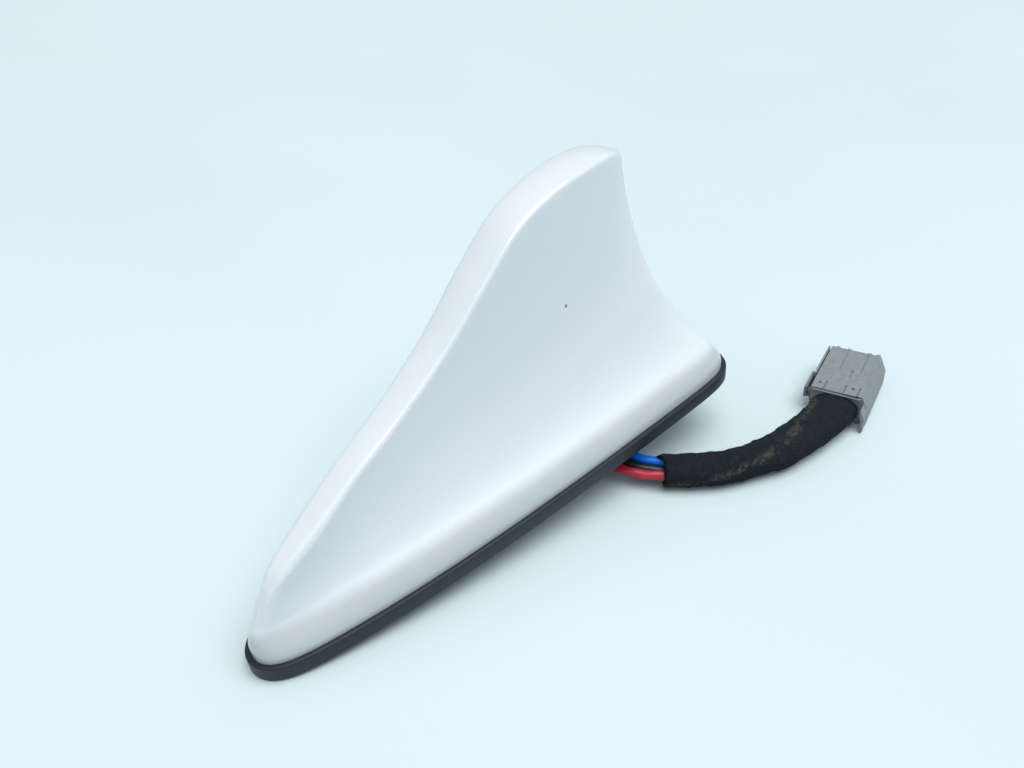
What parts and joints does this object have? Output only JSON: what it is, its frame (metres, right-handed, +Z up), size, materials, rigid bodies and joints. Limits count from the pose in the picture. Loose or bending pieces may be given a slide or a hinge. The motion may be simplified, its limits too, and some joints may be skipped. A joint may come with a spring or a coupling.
{
  "type": "car roof antenna",
  "caption": "Shark-fin car roof antenna: painted cover on a rubber pad, cast base with a fixing boss, and a short sleeved lead to one connector.",
  "frame": {"origin": "on the fixing thread's axis at the roof plane, which is the underside of the rubber pad", "axes": "+X to the nose (the car's front), +Y to the car's left, +Z up out of the roof"},
  "size_m": [0.2023, 0.0982, 0.0971],
  "materials": {
    "pad_rubber": "satin moulded rubber, blue-black",
    "cover_paint": "white pearl car paint under clear lacquer",
    "cast_metal": "die-cast, fine blasted",
    "screw_steel": "zinc plated",
    "grommet_rubber": "matt moulded rubber",
    "board_green": "solder mask",
    "tin_plate": "tinned sheet",
    "foam_tape": "foam tape",
    "ceramic": "fired ceramic",
    "silver_plate": "silver plating",
    "gold_plate": "gold plating",
    "chip_resin": "moulded resin",
    "carrier_plastic": "moulded plastic",
    "copper": "bare copper",
    "coax_black": "matt jacket",
    "wire_blue": "satin jacket",
    "wire_red": "satin jacket",
    "cloth_tape": "woven cloth tape, dusty",
    "connector_plastic": "moulded plastic, worn",
    "lock_plastic": "moulded plastic"
  },
  "bodies": {
    "root": {"base_pad": "pad_rubber", "cover": "cover_paint", "base_plate": "cast_metal", "cover_screws": "screw_steel", "cable_grommet": "grommet_rubber", "main_board": "board_green", "board_screws": "screw_steel", "shield_frame": "tin_plate", "shield_lid": "tin_plate", "patch_pad": "foam_tape", "patch_ceramic": "ceramic", "patch_electrode": "silver_plate", "patch_pin": "gold_plate", "amplifier_chips": "chip_resin", "coil_carrier": "carrier_plastic", "radio_coil": "copper", "top_load_plate": "tin_plate", "coil_spring_clip": "gold_plate", "phone_board": "board_green", "phone_radiator": "copper", "earth_clip": "tin_plate", "coax_ferrules": "gold_plate", "inner_coax": "coax_black", "position_wire": "wire_blue", "radio_wire": "coax_black", "phone_wire": "wire_red", "cloth_sleeve": "cloth_tape", "connector_housing": "connector_plastic", "connector_lock": "lock_plastic", "coax_contacts": "gold_plate"}
  },
  "joints": []
}
